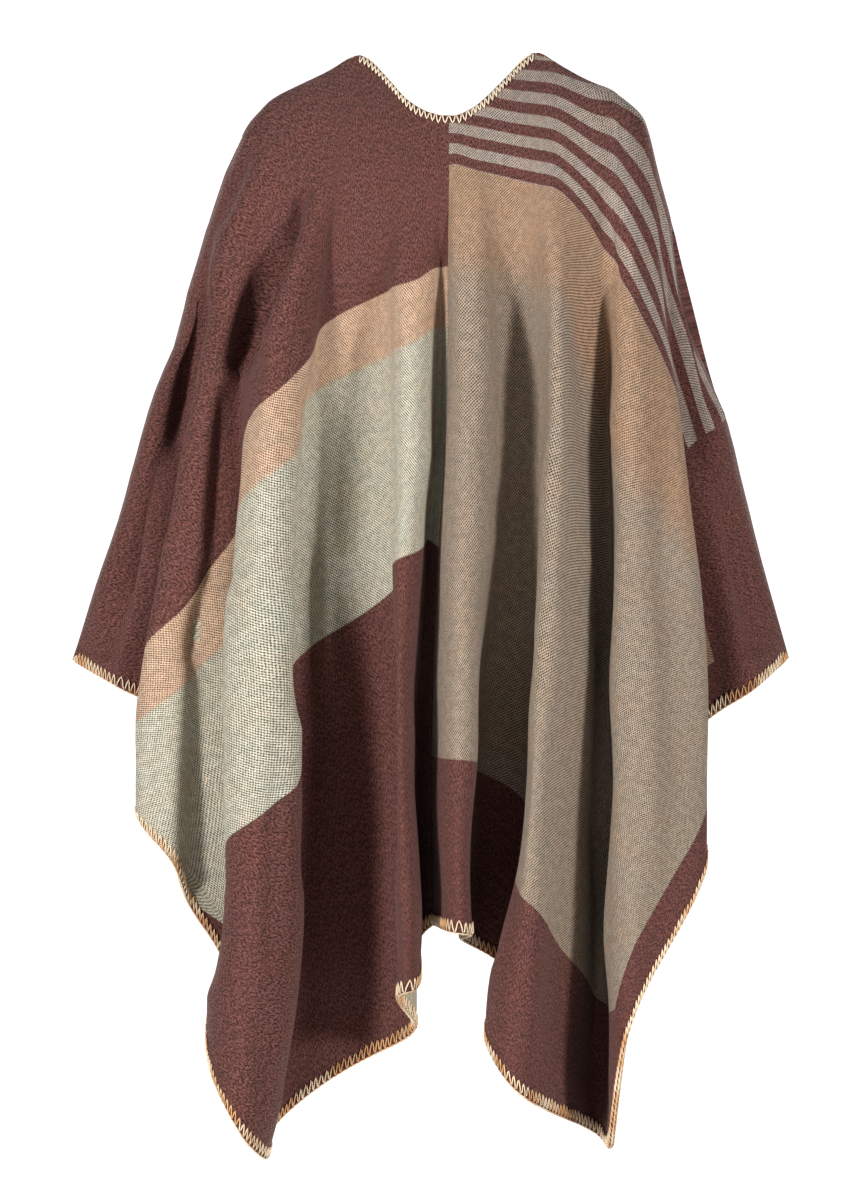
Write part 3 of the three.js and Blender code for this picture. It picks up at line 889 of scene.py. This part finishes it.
def threadMaterial(name):
    # soft cream yarn that turns to orange along its length, with a fine twist
    material = bpy.data.materials.new(name)
    material.use_nodes = True
    tree = material.node_tree
    shader = tree.nodes["Principled BSDF"]
    place = addNode(tree, "ShaderNodeTexCoord").outputs["Object"]
    dye = ramp(tree, noise(tree, place, yarn["dye"], 2), yarn["dyeFrom"], yarn["dyeTo"])
    turning = mixColours(tree, dye, yarn["cream"], yarn["orange"])
    split = addNode(tree, "ShaderNodeSeparateXYZ")
    tree.links.new(place, split.inputs[0])
    neck = ramp(tree, split.outputs[2], yarn["neckFrom"], yarn["neckTo"])
    pale = mixColours(tree, neck, turning, yarn["neck"])
    fine = noise(tree, place, yarn["twist"], 3)
    colour = mixColours(tree, ramp(tree, fine, 0.3, 0.7), pale, yarn["shade"], "MULTIPLY")
    tree.links.new(colour, shader.inputs["Base Color"])
    rough = calculate(tree, "MULTIPLY_ADD", fine, yarn["roughBy"], yarn["rough"])
    tree.links.new(rough, shader.inputs["Roughness"])
    shader.inputs["Specular IOR Level"].default_value = yarn["specular"]
    shader.inputs["Sheen Weight"].default_value = yarn["sheen"]
    bump = addNode(tree, "ShaderNodeBump")
    bump.inputs["Strength"].default_value = yarn["bump"]
    bump.inputs["Distance"].default_value = yarn["bumpHigh"]
    tree.links.new(fine, bump.inputs["Height"])
    tree.links.new(bump.outputs["Normal"], shader.inputs["Normal"])
    return material


leftCloth.data.materials.append(woolMaterial("leftWool", leftBlocks))
rightCloth.data.materials.append(woolMaterial("rightWool", rightBlocks))
thread = threadMaterial("edgingYarn")
for piece in (leftStitches, rightStitches):
    piece.data.materials.append(thread)
    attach(piece, "root")
for piece, node, slot, sewn in (
    (leftCloth, "left_half", "left_cloth", leftStitches),
    (rightCloth, "right_half", "right_cloth", rightStitches),
):
    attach(piece, "root")
    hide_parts(node)

# The view: square on the back, level with its middle
view = {"lens": 200, "middle": (-14.3, -466.2), "plane": -100, "frameHigh": 1008, "sensor": 36}
camera = bpy.data.cameras.new("camera")
camera.lens = view["lens"]
camera.sensor_width = view["sensor"]
away = view["frameHigh"] * view["lens"] / view["sensor"]
cameraObject = bpy.data.objects.new("camera", camera)
cameraObject.location = (view["middle"][0] * mm, (view["plane"] - away) * mm, view["middle"][1] * mm)
cameraObject.rotation_euler = (math.pi / 2, 0, 0)
bpy.context.scene.collection.objects.link(cameraObject)
bpy.context.scene.camera = cameraObject

# A round pale floor far below the hem, as for a standing figure
studio = {"floor": -1420, "radius": 4500, "corners": 96, "backdrop": 1.0, "ambient": 0.05}


def paleFloor():
    # one flat face, its corners evenly spaced on a circle
    turn = np.linspace(0, 2 * np.pi, studio["corners"], endpoint=False)
    rim = np.stack([np.cos(turn), np.sin(turn), np.zeros_like(turn)], axis=1) * studio["radius"]
    mesh = bpy.data.meshes.new("floor")
    mesh.from_pydata((rim + (0, 0, studio["floor"])) * mm, [], [list(range(studio["corners"]))])
    floor = bpy.data.objects.new("floor", mesh)
    bpy.context.scene.collection.objects.link(floor)
    material = bpy.data.materials.new("paleFloor")
    material.use_nodes = True
    shader = material.node_tree.nodes["Principled BSDF"]
    shader.inputs["Base Color"].default_value = (0.9, 0.9, 0.89, 1)
    shader.inputs["Roughness"].default_value = 0.9
    mesh.materials.append(material)
    return floor


paleFloor()

lights = [
    {"name": "key", "at": (-3.0, -3.2, 0.8), "to": (0, 0, -0.45), "size": 0.8, "watts": 178},
    {"name": "fill", "at": (3.0, -3.2, 0.7), "to": (0, 0, -0.45), "size": 0.8, "watts": 136},
    {"name": "behindLeft", "at": (-1.7, 4.0, 0.9), "to": (0, 0, -0.45), "size": 1.2, "watts": 75},
    {"name": "behindRight", "at": (1.9, 3.9, 0.6), "to": (0, 0, -0.45), "size": 1.2, "watts": 75},
]
for spec in lights:
    lamp = bpy.data.lights.new(spec["name"], "AREA")
    lamp.shape = "DISK"
    lamp.size = spec["size"]
    lamp.energy = spec["watts"]
    lampObject = bpy.data.objects.new(spec["name"], lamp)
    lampObject.location = spec["at"]
    ahead = Vector(spec["to"]) - lampObject.location
    lampObject.rotation_euler = ahead.to_track_quat("-Z", "Y").to_euler()
    bpy.context.scene.collection.objects.link(lampObject)
world = bpy.data.worlds.new("softLight")
world.use_nodes = True
sky = world.node_tree
sky.nodes["Background"].inputs["Color"].default_value = (1, 1, 1, 1)
seen = addNode(sky, "ShaderNodeLightPath").outputs["Is Camera Ray"]
shown = calculate(sky, "MULTIPLY_ADD", seen, studio["backdrop"] - studio["ambient"], studio["ambient"])
sky.links.new(shown, sky.nodes["Background"].inputs["Strength"])
bpy.context.scene.world = world
bpy.context.scene.view_settings.view_transform = "Standard"
bpy.context.scene.view_settings.look = "Medium High Contrast"
